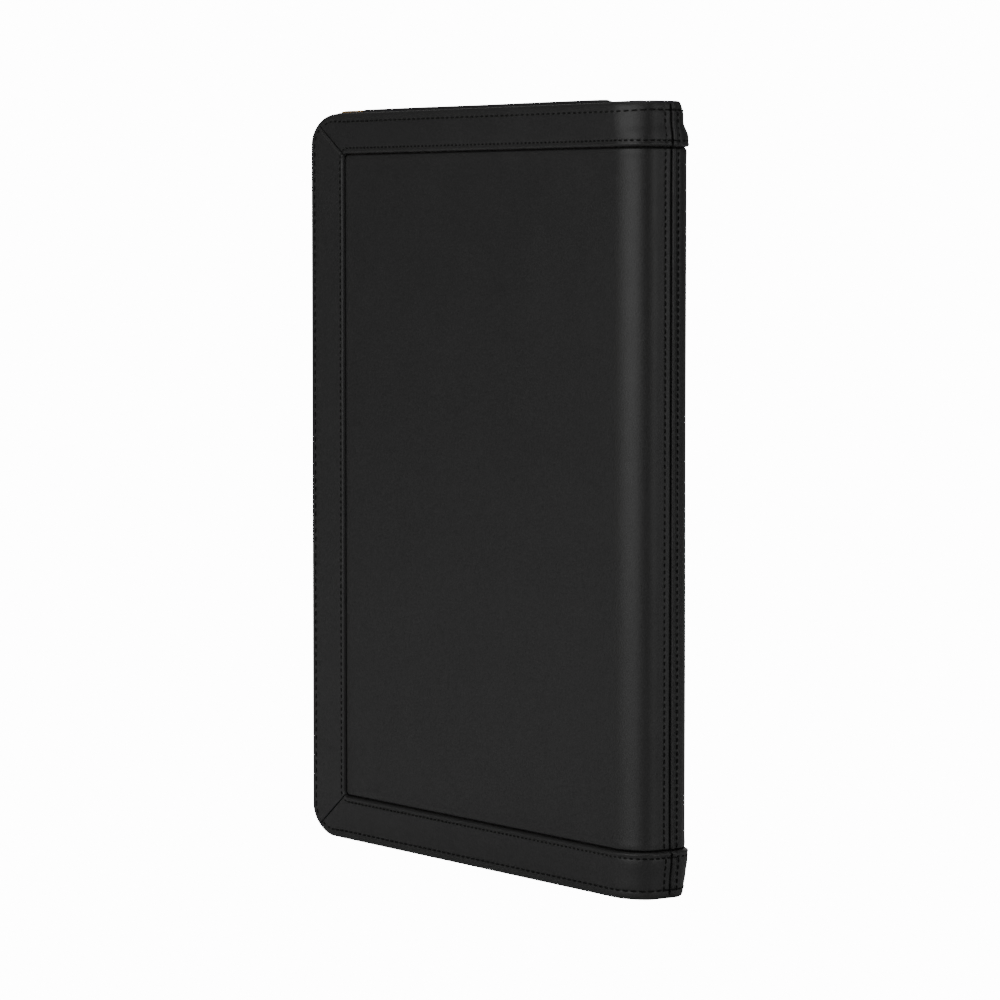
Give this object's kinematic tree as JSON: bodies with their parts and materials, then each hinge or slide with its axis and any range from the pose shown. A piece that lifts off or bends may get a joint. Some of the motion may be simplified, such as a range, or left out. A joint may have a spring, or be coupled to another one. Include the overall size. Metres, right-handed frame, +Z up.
{
  "type": "portfolio case",
  "caption": "Zip-round black leatherette portfolio case for A4 paper, with bordered covers, soft spine, writing pad, pen loop and inner pockets.",
  "frame": {"origin": "middle of the base that the closed case stands on", "axes": "+Z up along the covers' height, +X from the covers' free edge to the spine, +Y from the front cover to the rear cover"},
  "size_m": [0.2662, 0.035, 0.3469],
  "materials": {
    "leatherette": "black fine-grained leatherette, satin",
    "lining": "black woven polyester lining, matt",
    "board": "grey stiffener board, matt",
    "paper": "ruled white writing paper",
    "binding": "black gummed binding strip",
    "zip_tape": "black woven zip tape",
    "zip_metal": "polished brass"
  },
  "bodies": {
    "rear_cover": {"rear_panel": "leatherette", "rear_border_top": "leatherette", "rear_border_side": "leatherette", "rear_border_bottom": "leatherette", "rear_board": "board", "rear_lining": "lining", "rear_zip_tape": "zip_tape", "rear_zip_teeth": "zip_metal", "rear_zip_stop_top": "zip_metal", "rear_zip_stop_bottom": "zip_metal", "document_pocket": "lining", "card_pocket_1": "lining", "card_pocket_2": "lining", "card_pocket_3": "lining", "accessory_pocket": "lining"},
    "spine": {"spine_skin_front": "leatherette", "spine_skin_rear": "leatherette", "spine_band_top_front": "leatherette", "spine_band_top_rear": "leatherette", "spine_band_bottom_front": "leatherette", "spine_band_bottom_rear": "leatherette", "spine_board": "board", "spine_lining": "lining"},
    "front_cover": {"front_panel": "leatherette", "front_border_top": "leatherette", "front_border_side": "leatherette", "front_border_bottom": "leatherette", "front_board": "board", "front_lining": "lining", "front_zip_tape": "zip_tape", "front_zip_teeth": "zip_metal", "front_zip_stop_top": "zip_metal", "front_zip_stop_bottom": "zip_metal", "pad_holder": "lining", "pad_backing": "board", "pad_pages": "paper", "pad_binding": "binding", "pen_loop": "lining"},
    "zip_slider": {"zip_slider": "zip_metal"},
    "zip_pull": {"zip_pull": "zip_metal"}
  },
  "joints": [
    {"name": "rear_fold", "type": "hinge", "parent": "rear_cover", "child": "spine", "pos_m": [0.13012, 0.01448, 0.1725], "axis": [0, 0, 1], "range_deg": [0, 90]},
    {"name": "front_fold", "type": "hinge", "parent": "spine", "child": "front_cover", "pos_m": [0.13012, -0.01448, 0.1725], "axis": [0, 0, 1], "range_deg": [0, 90]},
    {"name": "zip_slide", "type": "slide", "parent": "rear_cover", "child": "zip_slider", "axis": [-1, 0, 0], "range_m": [0, 0.16]},
    {"name": "pull_swing", "type": "hinge", "parent": "zip_slider", "child": "zip_pull", "pos_m": [0.1035, 0, 0.3442], "axis": [0, 1, 0], "range_deg": [0, 150]}
  ]
}
